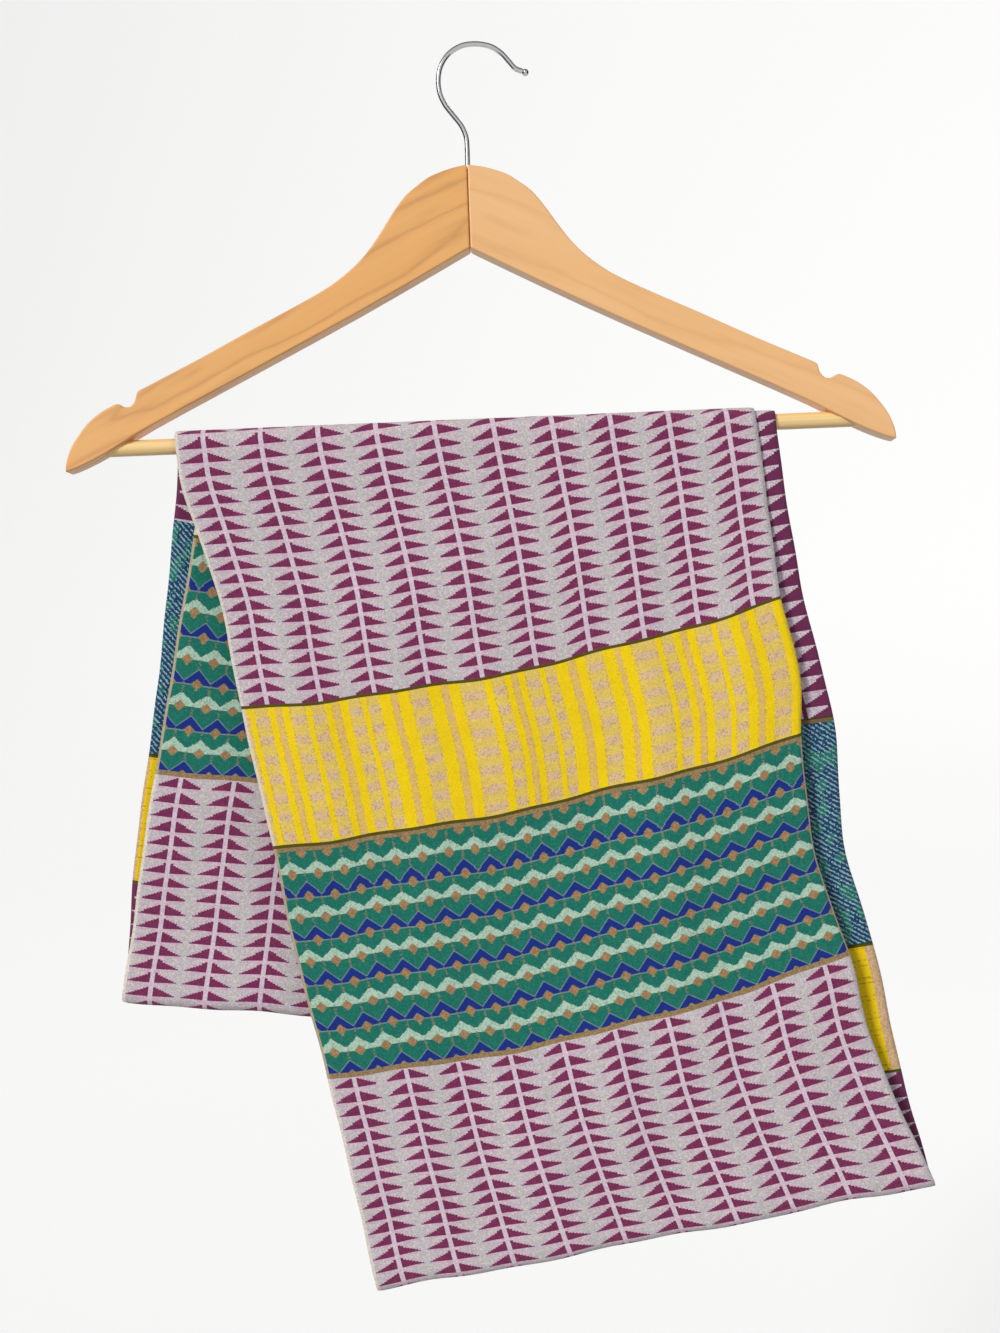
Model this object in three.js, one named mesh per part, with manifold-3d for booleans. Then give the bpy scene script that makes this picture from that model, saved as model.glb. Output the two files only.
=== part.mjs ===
import * as THREE from 'three';
import { mergeVertices } from 'three/addons/utils/BufferGeometryUtils.js';
import Module from 'manifold-3d';

// Infinity scarf, a knitted loop hung flat over the bar of a wooden clothes hanger.
// Millimetres. +X is right, +Z is up and the front faces -Y.
// The origin is the seat of the hook, the inner top of its bend.

// Hanger
const HANGER_X = -7.2;
const ARM_THICKNESS = 12.4;
const ARM_EDGE = 1.6;
const ARM_EDGE_STEPS = 2;
const PART_GAP = 0.3;
const BAR_Z = -208.4;
const BAR_RADIUS = 4.3;
const BAR_HALF_LENGTH = 210;
const SOCKET_START = 176;
const BAR_SIDES = 24;

// Upper and lower edge of one arm, by the distance out from the middle of the hanger.
const ARM_TOP = [
  { out: 0, z: -65 },
  { out: 8, z: -66.5 },
  { out: 14.5, z: -68.4 },
  { out: 21, z: -71 },
  { out: 27.5, z: -75.4 },
  { out: 34, z: -80.6 },
  { out: 40.5, z: -88.8 },
  { out: 47, z: -98.4 },
  { out: 53.5, z: -107.4 },
  { out: 60, z: -114.5 },
  { out: 68, z: -121.3 },
  { out: 78, z: -128 },
  { out: 95, z: -136.8 },
  { out: 121, z: -149.4 },
  { out: 147.5, z: -162.6 },
  { out: 174, z: -175.1 },
  { out: 181.2, z: -178.6 },
];
const STRAP_NOTCH = [
  { out: 182.4, z: -180.6 },
  { out: 183.4, z: -184 },
  { out: 185.8, z: -186.6 },
  { out: 188.8, z: -187 },
  { out: 191.4, z: -185.6 },
];
const ARM_SHOULDER = [
  { out: 193.6, z: -185.2 },
  { out: 197.5, z: -186.8 },
  { out: 203, z: -189.8 },
  { out: 209.5, z: -195 },
  { out: 214.8, z: -201.4 },
  { out: 219, z: -208 },
  { out: 221.6, z: -215 },
  { out: 222.4, z: -220.8 },
];
const ARM_UNDERSIDE = [
  { out: 215.5, z: -218.6 },
  { out: 201.5, z: -212.2 },
  { out: 175, z: -197.6 },
  { out: 122, z: -171.6 },
  { out: 60, z: -141 },
  { out: 0, z: -109.6 },
];

// Hook wire
const WIRE_RADIUS = 1.4;
const WIRE_SIDES = 10;
const WIRE_STEPS = 44;
const BALL_RADIUS = 1.9;
const BALL_SIDES = 14;
const STEM_END_Z = -92;
const STEM_HOLE_END_Z = -93;
const STEM_HOLE_SIDES = 16;
const HOOK_LINE = [
  { x: -7.1, z: -64.6 },
  { x: -7, z: -55 },
  { x: -7.4, z: -48.4 },
  { x: -9.7, z: -42.3 },
  { x: -13.5, z: -37 },
  { x: -18.1, z: -30.6 },
  { x: -20.7, z: -24 },
  { x: -21.2, z: -16.6 },
  { x: -19.4, z: -9.2 },
  { x: -14.8, z: -3 },
  { x: -7.9, z: 0.8 },
  { x: 0, z: 1.4 },
  { x: 7.6, z: -0.4 },
  { x: 13.3, z: -4.4 },
  { x: 17.2, z: -9 },
  { x: 20.4, z: -12.8 },
  { x: 24.2, z: -14.6 },
];

// Cloth wall, and the distance of each layer's middle from the middle of the bar
const WALL = 1.6;
const SEAM_GAP = 0.32;
const LAYER_GAP = 0.4;
const BAR_CLEARANCE = 0.35;
const INNER_OUT = BAR_RADIUS + BAR_CLEARANCE + WALL / 2;
const OUTER_OUT = INNER_OUT + WALL + LAYER_GAP;
const WRAP_RADIUS = (INNER_OUT + OUTER_OUT) / 2;
const QUARTER_WRAP = WRAP_RADIUS * Math.PI / 2;

// Way down the drop over which each layer leaves the bar's side for its own hang
const WRAP_END = QUARTER_WRAP + 2;
const BULGE_LENGTH = 90;

// Bottom folds, half a turn between the inner and the outer layer
const FOLD_IN = 4.8;
const FOLD_OUT = 16.4;
const FOLD_RADIUS = (FOLD_OUT - FOLD_IN) / 2;
const FOLD_MIDDLE = (FOLD_OUT + FOLD_IN) / 2;
const FOLD_ARC = FOLD_RADIUS * Math.PI;

// Cross sections of each layer, from the back fold over the bar to the front fold.
// x: middle of the section. t: way down from the top of the bar, + in front and - behind.
// tilt: degrees that its right end rises. width: end to end. bow: sag of its middle.
// out: distance of the cloth from the upright plane through the bar.
const OUTER_LAYER = [
  { at: 'back fold', x: -62, t: -327.5, tilt: 6.2, width: 304, bow: 0, out: 16.4 },
  { at: 'triangles end', x: -57.3, t: -262.7, tilt: 6.5, width: 302, bow: 5, out: 15.6 },
  { at: 'stripes end', x: -48.2, t: -195.7, tilt: 7.5, width: 296, bow: 7, out: 13.2 },
  { at: 'zigzag end', x: -27.9, t: -72.7, tilt: 9, width: 298, bow: 5, out: 10 },
  { at: 'bar', x: -15.3, t: 0, tilt: 9.8, width: 308.6, bow: 0, out: 8.4 },
  { at: 'below bar', x: -10.2, t: 26, tilt: 9.7, width: 305.4, bow: 4, out: 8.8 },
  { at: 'triangles middle', x: -1.4, t: 72, tilt: 9.5, width: 297, bow: 8, out: 9.8 },
  { at: 'triangles end', x: 5.9, t: 128.7, tilt: 9.4, width: 291.8, bow: 10, out: 11 },
  { at: 'stripes middle', x: 14.6, t: 172, tilt: 9.7, width: 293, bow: 9, out: 12.2 },
  { at: 'stripes end', x: 17.4, t: 202.6, tilt: 10, width: 285, bow: 8, out: 13 },
  { at: 'zigzag middle', x: 25.2, t: 264, tilt: 10.6, width: 279.5, bow: 9, out: 14 },
  { at: 'zigzag end', x: 40.2, t: 321.8, tilt: 11.5, width: 282.4, bow: 10, out: 15 },
  { at: 'above fold', x: 49.9, t: 367, tilt: 11.2, width: 283.2, bow: 8, out: 15.8 },
  { at: 'front fold', x: 71.6, t: 440, tilt: 9.4, width: 299, bow: 0, out: 16.4 },
];
const INNER_LAYER = [
  { at: 'back fold', x: -62, t: -327.5, tilt: 6.2, width: 304, bow: 0, out: 4.8 },
  { at: 'zigzag end', x: -44.8, t: -201, tilt: 5, width: 291.5, bow: 0, out: 5.2 },
  { at: 'stripes end', x: -18, t: -83.7, tilt: 9.5, width: 296, bow: 4, out: 5.4 },
  { at: 'triangles end', x: -2.5, t: -12, tilt: 9.7, width: 309.6, bow: 0, out: 5.45 },
  { at: 'bar', x: -1.3, t: 0, tilt: 9.6, width: 311.4, bow: 0, out: 5.45 },
  { at: 'below bar', x: 3.2, t: 40, tilt: 9, width: 302.4, bow: 0, out: 5.45 },
  { at: 'triangles middle', x: 16, t: 115, tilt: 7.5, width: 293, bow: -2, out: 5.45 },
  { at: 'zigzag end', x: 32.9, t: 184.4, tilt: 6.4, width: 288.4, bow: -4, out: 5.4 },
  { at: 'zigzag middle', x: 39.9, t: 256, tilt: 8.5, width: 282.7, bow: 2, out: 5.3 },
  { at: 'stripes end', x: 50, t: 310.5, tilt: 8.6, width: 289.2, bow: 0, out: 5.2 },
  { at: 'triangles end', x: 60, t: 378, tilt: 8.5, width: 294, bow: -3, out: 5 },
  { at: 'front fold', x: 71.6, t: 440, tilt: 9.4, width: 299, bow: 0, out: 4.8 },
];

// Straight runs from the bar to where each fold starts to turn, and places on the ring.
const FRONT_RUN = OUTER_LAYER.at(-1).t - FOLD_RADIUS;
const BACK_RUN = -OUTER_LAYER[0].t - FOLD_RADIUS;
const LOOP_LENGTH = 2 * (FRONT_RUN + BACK_RUN + FOLD_ARC);
const INNER_BAR_RING = 2 * FRONT_RUN + FOLD_ARC;
const BACK_TURN = INNER_BAR_RING + BACK_RUN;

// Bands in their order around the loop. Each ends where the next begins.
// layer and t: where the band starts. columns: cells across it.
const BANDS = [
  { node: 'band_01_triangles_over_bar', knit: 'triangles', layer: 'outer', t: -72.7, columns: 20 },
  { node: 'band_02_stripes_front_outer', knit: 'stripes', layer: 'outer', t: 128.7, columns: 14 },
  { node: 'band_03_zigzag_front_outer', knit: 'zigzag', layer: 'outer', t: 202.6, columns: 14 },
  { node: 'band_04_triangles_front_fold', knit: 'triangles', layer: 'outer', t: 321.8, columns: 14 },
  { node: 'band_05_stripes_front_inner', knit: 'stripes', layer: 'inner', t: 378, columns: 14 },
  { node: 'band_06_zigzag_front_inner', knit: 'zigzag', layer: 'inner', t: 310.5, columns: 14 },
  { node: 'band_07_triangles_inner_bar', knit: 'triangles', layer: 'inner', t: 184.4, columns: 20 },
  { node: 'band_08_stripes_back_inner', knit: 'stripes', layer: 'inner', t: -12, columns: 20 },
  { node: 'band_09_zigzag_back_inner', knit: 'zigzag', layer: 'inner', t: -83.7, columns: 14 },
  { node: 'band_10_triangles_back_fold', knit: 'triangles', layer: 'inner', t: -201, columns: 14 },
  { node: 'band_11_stripes_back_outer', knit: 'stripes', layer: 'outer', t: -262.7, columns: 14 },
  { node: 'band_12_zigzag_back_outer', knit: 'zigzag', layer: 'outer', t: -195.7, columns: 14 },
];

// Stretches of the loop that need short cells: over the bar, once a layer, and the two folds.
const WRAP_ZONE = 40;
const WRAP_STEP = 2.6;
const FOLD_STEP = FOLD_ARC / 8;
const FINE_ZONES = [
  { from: -WRAP_ZONE, to: WRAP_ZONE, step: WRAP_STEP },
  { from: INNER_BAR_RING - WRAP_ZONE, to: INNER_BAR_RING + WRAP_ZONE, step: WRAP_STEP },
  { from: FRONT_RUN, to: FRONT_RUN + FOLD_ARC, step: FOLD_STEP },
  { from: BACK_TURN, to: BACK_TURN + FOLD_ARC, step: FOLD_STEP },
];
const MIN_CELL = 1;
const LONG_STEP = 14;

// Soft waves of the hanging cloth: height, waves across, waves along the loop, shift.
const WAVES = [
  { height: 0.5, across: 1.3, along: 5, shift: 0.4 },
  { height: 0.35, across: 2.4, along: 9, shift: 1.9 },
  { height: 0.25, across: 0.7, along: 16, shift: 3.1 },
];
const NORMAL_STEP = 0.05;
const ACROSS_STEP = 0.0005;
const MERGE_DISTANCE = 0.0001;

const KNIT_COLOURS = { triangles: 0xb59ab5, stripes: 0xe8c860, zigzag: 0x5f8f7f };
const WOOD_COLOUR = 0xe2a565;
const BAR_COLOUR = 0xe8cf9c;
const HOOK_COLOUR = 0xb8bcc0;

const wasm = await Module();
wasm.setup();

function fade(value, start, end) {
  const k = Math.min(1, Math.max(0, (value - start) / (end - start)));
  return k * k * (3 - 2 * k);
}

// Smooth curve through a table column, read at t.
function columnAt(rows, column, t) {
  const last = rows.length - 1;
  let i = 0;
  while (i < last - 1 && t > rows[i + 1].t) i += 1;
  const slope = (k) => {
    const a = rows[Math.max(0, k - 1)];
    const b = rows[Math.min(last, k + 1)];
    return (b[column] - a[column]) / (b.t - a.t);
  };
  const span = rows[i + 1].t - rows[i].t;
  const k = Math.min(1, Math.max(0, (t - rows[i].t) / span));
  const near = (1 + 2 * k) * (1 - k) * (1 - k) * rows[i][column];
  const far = k * k * (3 - 2 * k) * rows[i + 1][column];
  const bend = k * (1 - k) * ((1 - k) * slope(i) - k * slope(i + 1)) * span;
  return near + far + bend;
}

// Place on the loop. ring runs once round it from the top of the bar, first down the front.
// inner: 0 on the outer layer, 1 on the inner layer and between them round a bottom fold.
function stationAt(ring) {
  const c = ((ring % LOOP_LENGTH) + LOOP_LENGTH) % LOOP_LENGTH;
  if (c <= FRONT_RUN) return { inner: 0, t: c };
  if (c < FRONT_RUN + FOLD_ARC) {
    const turn = (c - FRONT_RUN) / FOLD_RADIUS;
    const out = FOLD_MIDDLE + FOLD_RADIUS * Math.cos(turn);
    return { inner: turn / Math.PI, t: FRONT_RUN + FOLD_RADIUS * Math.sin(turn), out };
  }
  if (c <= BACK_TURN) return { inner: 1, t: FRONT_RUN - (c - FRONT_RUN - FOLD_ARC) };
  if (c < BACK_TURN + FOLD_ARC) {
    const turn = (c - BACK_TURN) / FOLD_RADIUS;
    const out = FOLD_MIDDLE - FOLD_RADIUS * Math.cos(turn);
    return { inner: 1 - turn / Math.PI, t: -BACK_RUN - FOLD_RADIUS * Math.sin(turn), out };
  }
  return { inner: 0, t: c - LOOP_LENGTH };
}

function ringOf(place) {
  if (place.layer === 'inner') return INNER_BAR_RING - place.t;
  return place.t < 0 ? LOOP_LENGTH + place.t : place.t;
}

// Table value at a place on the loop, mixed from both layers round a fold.
function sectionAt(station, column) {
  const { inner, t } = station;
  if (inner === 0) return columnAt(OUTER_LAYER, column, t);
  if (inner === 1) return columnAt(INNER_LAYER, column, t);
  return (1 - inner) * columnAt(OUTER_LAYER, column, t) + inner * columnAt(INNER_LAYER, column, t);
}

function waveAt(across, ring) {
  let sum = 0;
  for (const wave of WAVES) {
    const turns = wave.along * ring / LOOP_LENGTH;
    sum += wave.height * Math.sin(Math.PI * (wave.across * across + 2 * turns) + wave.shift);
  }
  return sum;
}

// Middle of the cloth. across runs from -1 at the left edge to 1 at the right edge.
function clothPoint(ring, across) {
  const station = stationAt(ring);
  const tilt = THREE.MathUtils.degToRad(sectionAt(station, 'tilt'));
  const side = across * sectionAt(station, 'width') / 2;
  const bow = sectionAt(station, 'bow') * (1 - across * across);
  const x = sectionAt(station, 'x') + side * Math.cos(tilt);
  const t = station.t - side * Math.sin(tilt) + Math.sign(station.t) * bow;
  const onBar = OUTER_OUT + (INNER_OUT - OUTER_OUT) * station.inner;
  const hanging = (station.out ?? sectionAt(station, 'out')) + waveAt(across, ring);
  const free = fade(Math.abs(t), WRAP_END, WRAP_END + BULGE_LENGTH);
  const out = onBar + (hanging - onBar) * free;
  if (Math.abs(t) <= QUARTER_WRAP) {
    const angle = t / WRAP_RADIUS;
    return new THREE.Vector3(x, -out * Math.sin(angle), BAR_Z + out * Math.cos(angle));
  }
  return new THREE.Vector3(x, -Math.sign(t) * out, BAR_Z - (Math.abs(t) - QUARTER_WRAP));
}

// Direction straight out of the cloth, away from the inside of the loop.
function clothNormal(ring, across) {
  const along = clothPoint(ring + NORMAL_STEP, across).sub(clothPoint(ring - NORMAL_STEP, across));
  const over = clothPoint(ring, across + ACROSS_STEP).sub(clothPoint(ring, across - ACROSS_STEP));
  return along.cross(over).normalize();
}

// Places of the cross rows of a band, closer together over the bar and round the folds.
function ringRows(from, to) {
  const cuts = [from, to];
  for (const zone of FINE_ZONES) {
    for (const cut of [zone.from, zone.to]) {
      if (cut > from + MIN_CELL && cut < to - MIN_CELL) cuts.push(cut);
    }
  }
  cuts.sort((a, b) => a - b);
  const rows = [from];
  for (let i = 0; i < cuts.length - 1; i += 1) {
    const middle = (cuts[i] + cuts[i + 1]) / 2;
    const zone = FINE_ZONES.find((z) => middle > z.from && middle < z.to);
    const length = cuts[i + 1] - cuts[i];
    const cells = Math.ceil(length / (zone ? zone.step : LONG_STEP));
    for (let k = 1; k <= cells; k += 1) rows.push(cuts[i] + length * k / cells);
  }
  return rows;
}

// Closed wall of cloth between two places on the loop.
function bandGeometry(band, next) {
  const to = ringOf(next);
  let from = ringOf(band);
  if (from > to) from -= LOOP_LENGTH;
  const rows = ringRows(from + SEAM_GAP / 2, to - SEAM_GAP / 2);
  const points = [];
  for (const ring of rows) {
    for (let j = 0; j <= band.columns; j += 1) {
      const across = 2 * j / band.columns - 1;
      const middle = clothPoint(ring, across);
      const half = clothNormal(ring, across).multiplyScalar(WALL / 2);
      points.push(middle.clone().add(half), middle.clone().sub(half));
    }
  }
  const vertex = (i, j, side) => 2 * (i * (band.columns + 1) + j) + side;
  const faces = [];
  const quad = (a, b, c, d) => faces.push(a, b, c, a, c, d);
  // Each cell is split along the corner line that lies nearest to the line of the bar.
  const cellFaces = (i, j) => {
    const corners = [[i, j], [i + 1, j], [i + 1, j + 1], [i, j + 1]];
    if (band.layer === 'inner') corners.push(corners.shift());
    const outside = corners.map(([row, column]) => vertex(row, column, 0));
    const inside = corners.map(([row, column]) => vertex(row, column, 1));
    quad(...outside);
    quad(inside[0], inside[3], inside[2], inside[1]);
  };
  const last = rows.length - 1;
  for (let i = 0; i < last; i += 1) {
    for (let j = 0; j < band.columns; j += 1) cellFaces(i, j);
    const end = band.columns;
    quad(vertex(i, 0, 0), vertex(i, 0, 1), vertex(i + 1, 0, 1), vertex(i + 1, 0, 0));
    quad(vertex(i, end, 0), vertex(i + 1, end, 0), vertex(i + 1, end, 1), vertex(i, end, 1));
  }
  for (let j = 0; j < band.columns; j += 1) {
    quad(vertex(0, j, 0), vertex(0, j + 1, 0), vertex(0, j + 1, 1), vertex(0, j, 1));
    quad(vertex(last, j, 0), vertex(last, j, 1), vertex(last, j + 1, 1), vertex(last, j + 1, 0));
  }
  const geometry = new THREE.BufferGeometry().setFromPoints(points);
  geometry.setIndex(faces);
  return geometry;
}

function toManifold(geometry) {
  const bare = geometry.clone();
  bare.deleteAttribute('normal');
  bare.deleteAttribute('uv');
  const merged = mergeVertices(bare, MERGE_DISTANCE);
  const vertProperties = new Float32Array(merged.attributes.position.array);
  const triVerts = new Uint32Array(merged.index.array);
  return new wasm.Manifold(new wasm.Mesh({ numProp: 3, vertProperties, triVerts }));
}

function toGeometry(solid) {
  const mesh = solid.getMesh();
  const geometry = new THREE.BufferGeometry();
  geometry.setAttribute('position', new THREE.BufferAttribute(mesh.vertProperties, 3));
  geometry.setIndex(new THREE.BufferAttribute(mesh.triVerts, 1));
  return geometry;
}

// One wooden arm, its outline drawn at side -1 (left) or 1 (right) and extruded.
function armGeometry(side) {
  const outline = [...ARM_TOP, ...STRAP_NOTCH, ...ARM_SHOULDER, ...ARM_UNDERSIDE];
  const toPoint = ({ out, z }) => {
    return new THREE.Vector2(HANGER_X + side * Math.max(out, PART_GAP / 2), z);
  };
  const shape = new THREE.Shape(outline.map(toPoint));
  const blank = new THREE.ExtrudeGeometry(shape, {
    depth: ARM_THICKNESS - 2 * ARM_EDGE,
    bevelThickness: ARM_EDGE,
    bevelSize: ARM_EDGE,
    bevelOffset: -ARM_EDGE,
    bevelSegments: ARM_EDGE_STEPS,
  });
  blank.translate(0, 0, ARM_EDGE - ARM_THICKNESS / 2);
  blank.rotateX(Math.PI / 2);
  const socketRadius = BAR_RADIUS + PART_GAP;
  const socketEnd = BAR_HALF_LENGTH + PART_GAP;
  const socketLength = socketEnd - SOCKET_START;
  const socket = new THREE.CylinderGeometry(socketRadius, socketRadius, socketLength, BAR_SIDES);
  socket.rotateZ(Math.PI / 2);
  socket.translate(HANGER_X + side * (SOCKET_START + socketLength / 2), 0, BAR_Z);
  return toGeometry(toManifold(blank).subtract(toManifold(socket)).subtract(stemHole()));
}

function stemHole() {
  const radius = WIRE_RADIUS + PART_GAP;
  const height = 2 * (ARM_TOP[0].z - STEM_HOLE_END_Z);
  const hole = new THREE.CylinderGeometry(radius, radius, height, STEM_HOLE_SIDES);
  hole.rotateX(Math.PI / 2);
  hole.translate(HOOK_LINE[0].x, 0, STEM_HOLE_END_Z + height / 2);
  return toManifold(hole);
}

function barGeometry() {
  const length = 2 * BAR_HALF_LENGTH;
  const bar = new THREE.CylinderGeometry(BAR_RADIUS, BAR_RADIUS, length, BAR_SIDES);
  bar.rotateZ(Math.PI / 2);
  bar.translate(HANGER_X, 0, BAR_Z);
  return bar;
}

// Bent wire of the hook with the ball on its tip.
function hookGeometry() {
  const line = [{ x: HOOK_LINE[0].x, z: STEM_END_Z }, ...HOOK_LINE];
  const path = new THREE.CatmullRomCurve3(line.map(({ x, z }) => new THREE.Vector3(x, 0, z)));
  const circle = [];
  for (let k = 0; k < WIRE_SIDES; k += 1) {
    const angle = 2 * Math.PI * k / WIRE_SIDES;
    circle.push(new THREE.Vector2(Math.cos(angle), Math.sin(angle)).multiplyScalar(WIRE_RADIUS));
  }
  const shape = new THREE.Shape(circle);
  const wire = new THREE.ExtrudeGeometry(shape, { steps: WIRE_STEPS, extrudePath: path });
  const tip = HOOK_LINE[HOOK_LINE.length - 1];
  const ball = new THREE.SphereGeometry(BALL_RADIUS, BALL_SIDES, BALL_SIDES / 2);
  ball.translate(tip.x, 0, tip.z);
  return toGeometry(toManifold(wire).add(toManifold(ball)));
}

function addMesh(group, name, geometry, color, roughness, metalness) {
  geometry.computeVertexNormals();
  const material = new THREE.MeshStandardMaterial({ color, roughness, metalness });
  const mesh = new THREE.Mesh(geometry, material);
  mesh.name = name;
  group.add(mesh);
}

function build() {
  const group = new THREE.Group();
  group.name = 'infinity_scarf_on_hanger';
  BANDS.forEach((band, index) => {
    const next = BANDS[(index + 1) % BANDS.length];
    addMesh(group, band.node, bandGeometry(band, next), KNIT_COLOURS[band.knit], 0.9, 0);
  });
  addMesh(group, 'hanger_arm_left', armGeometry(-1), WOOD_COLOUR, 0.5, 0);
  addMesh(group, 'hanger_arm_right', armGeometry(1), WOOD_COLOUR, 0.5, 0);
  addMesh(group, 'trouser_bar', barGeometry(), BAR_COLOUR, 0.5, 0);
  addMesh(group, 'hook', hookGeometry(), HOOK_COLOUR, 0.25, 1);
  return group;
}

export default build();
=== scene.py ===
import math

import bpy
import numpy as np
from mathutils import Matrix, Vector


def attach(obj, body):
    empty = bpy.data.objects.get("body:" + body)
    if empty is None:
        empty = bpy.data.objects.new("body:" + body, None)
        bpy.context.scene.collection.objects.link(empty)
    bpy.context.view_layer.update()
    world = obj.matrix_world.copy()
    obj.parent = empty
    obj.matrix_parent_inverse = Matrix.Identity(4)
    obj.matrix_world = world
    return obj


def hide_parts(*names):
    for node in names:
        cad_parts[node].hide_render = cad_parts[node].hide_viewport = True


# An infinity scarf, a knitted loop hung flat over the bar of a wooden clothes hanger.
# Sizes here are in millimetres and become metres when a mesh is made.
# The origin is the seat of the hook, +X is right, +Z is up and the front faces -Y.

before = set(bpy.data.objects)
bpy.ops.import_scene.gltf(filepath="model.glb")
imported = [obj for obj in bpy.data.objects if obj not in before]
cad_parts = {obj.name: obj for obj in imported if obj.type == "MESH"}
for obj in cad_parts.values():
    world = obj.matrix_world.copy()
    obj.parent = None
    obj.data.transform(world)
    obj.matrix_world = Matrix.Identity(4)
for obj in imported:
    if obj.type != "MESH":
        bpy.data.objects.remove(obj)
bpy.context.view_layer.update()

MM = 0.001
WHITE = (1.0, 1.0, 1.0)

# Hanger
HANGER_X = -7.2
ARM_THICKNESS = 12.4
ARM_EDGE_ROUND = 1.7
PART_GAP = 0.3
BAR_Z = -208.4
BAR_RADIUS = 4.3
BAR_HALF_LENGTH = 210
BAR_SIDES = 64
BAR_RINGS = 40
BAR_CHAMFER = 0.6

# Cloth
WIDTH = 300.0
WALL = 1.6
EDGE_THINNER = 0.35
STRIP_TURN = math.radians(10)
LAYER_GAP = 0.4
BAR_CLEARANCE = 0.35
INNER_OUT = BAR_RADIUS + BAR_CLEARANCE + WALL / 2
OUTER_OUT = INNER_OUT + WALL + LAYER_GAP
WRAP_RADIUS = (INNER_OUT + OUTER_OUT) / 2
QUARTER_WRAP = WRAP_RADIUS * math.pi / 2
WRAP_END = QUARTER_WRAP + 2
BULGE_LENGTH = 90
FOLD_IN = 4.8
FOLD_OUT = 16.4
FOLD_RADIUS = (FOLD_OUT - FOLD_IN) / 2
FOLD_MIDDLE = (FOLD_OUT + FOLD_IN) / 2
FOLD_ARC = FOLD_RADIUS * math.pi

# Cross sections of each layer, from the back fold over the bar to the front fold.
# x: middle. t: way down from the top of the bar, + in front and - behind.
# tilt: degrees that the right end rises. width: end to end. bow: sag of the middle.
# out: distance of the cloth from the upright plane through the bar.
COLUMNS = ("x", "t", "tilt", "width", "bow", "out")
OUTER_LAYER = (
    (-62, -327.5, 6.2, 304, 0, 16.4),
    (-57.3, -262.7, 6.5, 302, 5, 15.6),
    (-48.2, -195.7, 7.5, 296, 7, 13.2),
    (-27.9, -72.7, 9, 298, 5, 10),
    (-15.3, 0, 9.8, 308.6, 0, 8.4),
    (-10.2, 26, 9.7, 305.4, 4, 8.8),
    (-1.4, 72, 9.5, 297, 8, 9.8),
    (5.9, 128.7, 9.4, 291.8, 10, 11),
    (14.6, 172, 9.7, 293, 9, 12.2),
    (17.4, 202.6, 10, 285, 8, 13),
    (25.2, 264, 10.6, 279.5, 9, 14),
    (40.2, 321.8, 11.5, 282.4, 10, 15),
    (49.9, 367, 11.2, 283.2, 8, 15.8),
    (71.6, 440, 9.4, 299, 0, 16.4),
)
INNER_LAYER = (
    (-62, -327.5, 6.2, 304, 0, 4.8),
    (-44.8, -201, 5, 291.5, 0, 5.2),
    (-18, -83.7, 9.5, 296, 4, 5.4),
    (-2.5, -12, 9.7, 309.6, 0, 5.45),
    (-1.3, 0, 9.6, 311.4, 0, 5.45),
    (3.2, 40, 9, 302.4, 0, 5.45),
    (16, 115, 7.5, 293, -2, 5.45),
    (32.9, 184.4, 6.4, 288.4, -4, 5.4),
    (39.9, 256, 8.5, 282.7, 2, 5.3),
    (50, 310.5, 8.6, 289.2, 0, 5.2),
    (60, 378, 8.5, 294, -3, 5),
    (71.6, 440, 9.4, 299, 0, 4.8),
)
FRONT_RUN = OUTER_LAYER[-1][1] - FOLD_RADIUS
BACK_RUN = -OUTER_LAYER[0][1] - FOLD_RADIUS
LOOP_LENGTH = 2 * (FRONT_RUN + BACK_RUN + FOLD_ARC)
INNER_BAR_RING = 2 * FRONT_RUN + FOLD_ARC
BACK_TURN = INNER_BAR_RING + BACK_RUN

# Bands in their order around the loop: piece, node it replaces, knit, layer and t of its start.
BANDS = (
    ("knit_01_triangles_over_bar", "band_01_triangles_over_bar", "triangles", "outer", -72.7),
    ("knit_02_stripes_front_outer", "band_02_stripes_front_outer", "stripes", "outer", 128.7),
    ("knit_03_zigzag_front_outer", "band_03_zigzag_front_outer", "zigzag", "outer", 202.6),
    ("knit_04_triangles_front_fold", "band_04_triangles_front_fold", "triangles", "outer", 321.8),
    ("knit_05_stripes_front_inner", "band_05_stripes_front_inner", "stripes", "inner", 378),
    ("knit_06_zigzag_front_inner", "band_06_zigzag_front_inner", "zigzag", "inner", 310.5),
    ("knit_07_triangles_inner_bar", "band_07_triangles_inner_bar", "triangles", "inner", 184.4),
    ("knit_08_stripes_back_inner", "band_08_stripes_back_inner", "stripes", "inner", -12),
    ("knit_09_zigzag_back_inner", "band_09_zigzag_back_inner", "zigzag", "inner", -83.7),
    ("knit_10_triangles_back_fold", "band_10_triangles_back_fold", "triangles", "inner", -201),
    ("knit_11_stripes_back_outer", "band_11_stripes_back_outer", "stripes", "outer", -262.7),
    ("knit_12_zigzag_back_outer", "band_12_zigzag_back_outer", "zigzag", "outer", -195.7),
)
# Length of the pattern of each kind of band.
BAND_LENGTH = {"triangles": 200.0, "stripes": 76.0, "zigzag": 123.0}
# On the band over the bar the knit rows lie closer, more so to the right, and sag.
ROWS_CLOSER = 1.08
ROWS_CLOSER_RIGHT = 0.035
ROW_SAG = 10.0
SAG_STARTS = (-70, -35)
# The end of the last band goes into the seam behind the bar.
LAST_ROW_HIDDEN = 4.0

# Soft waves of the whole cloth: height, waves across, waves along the loop, shift.
WAVES = (
    (0.5, 1.3, 5, 0.4),
    (0.35, 2.4, 9, 1.9),
    (0.25, 0.7, 16, 3.1),
)
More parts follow.
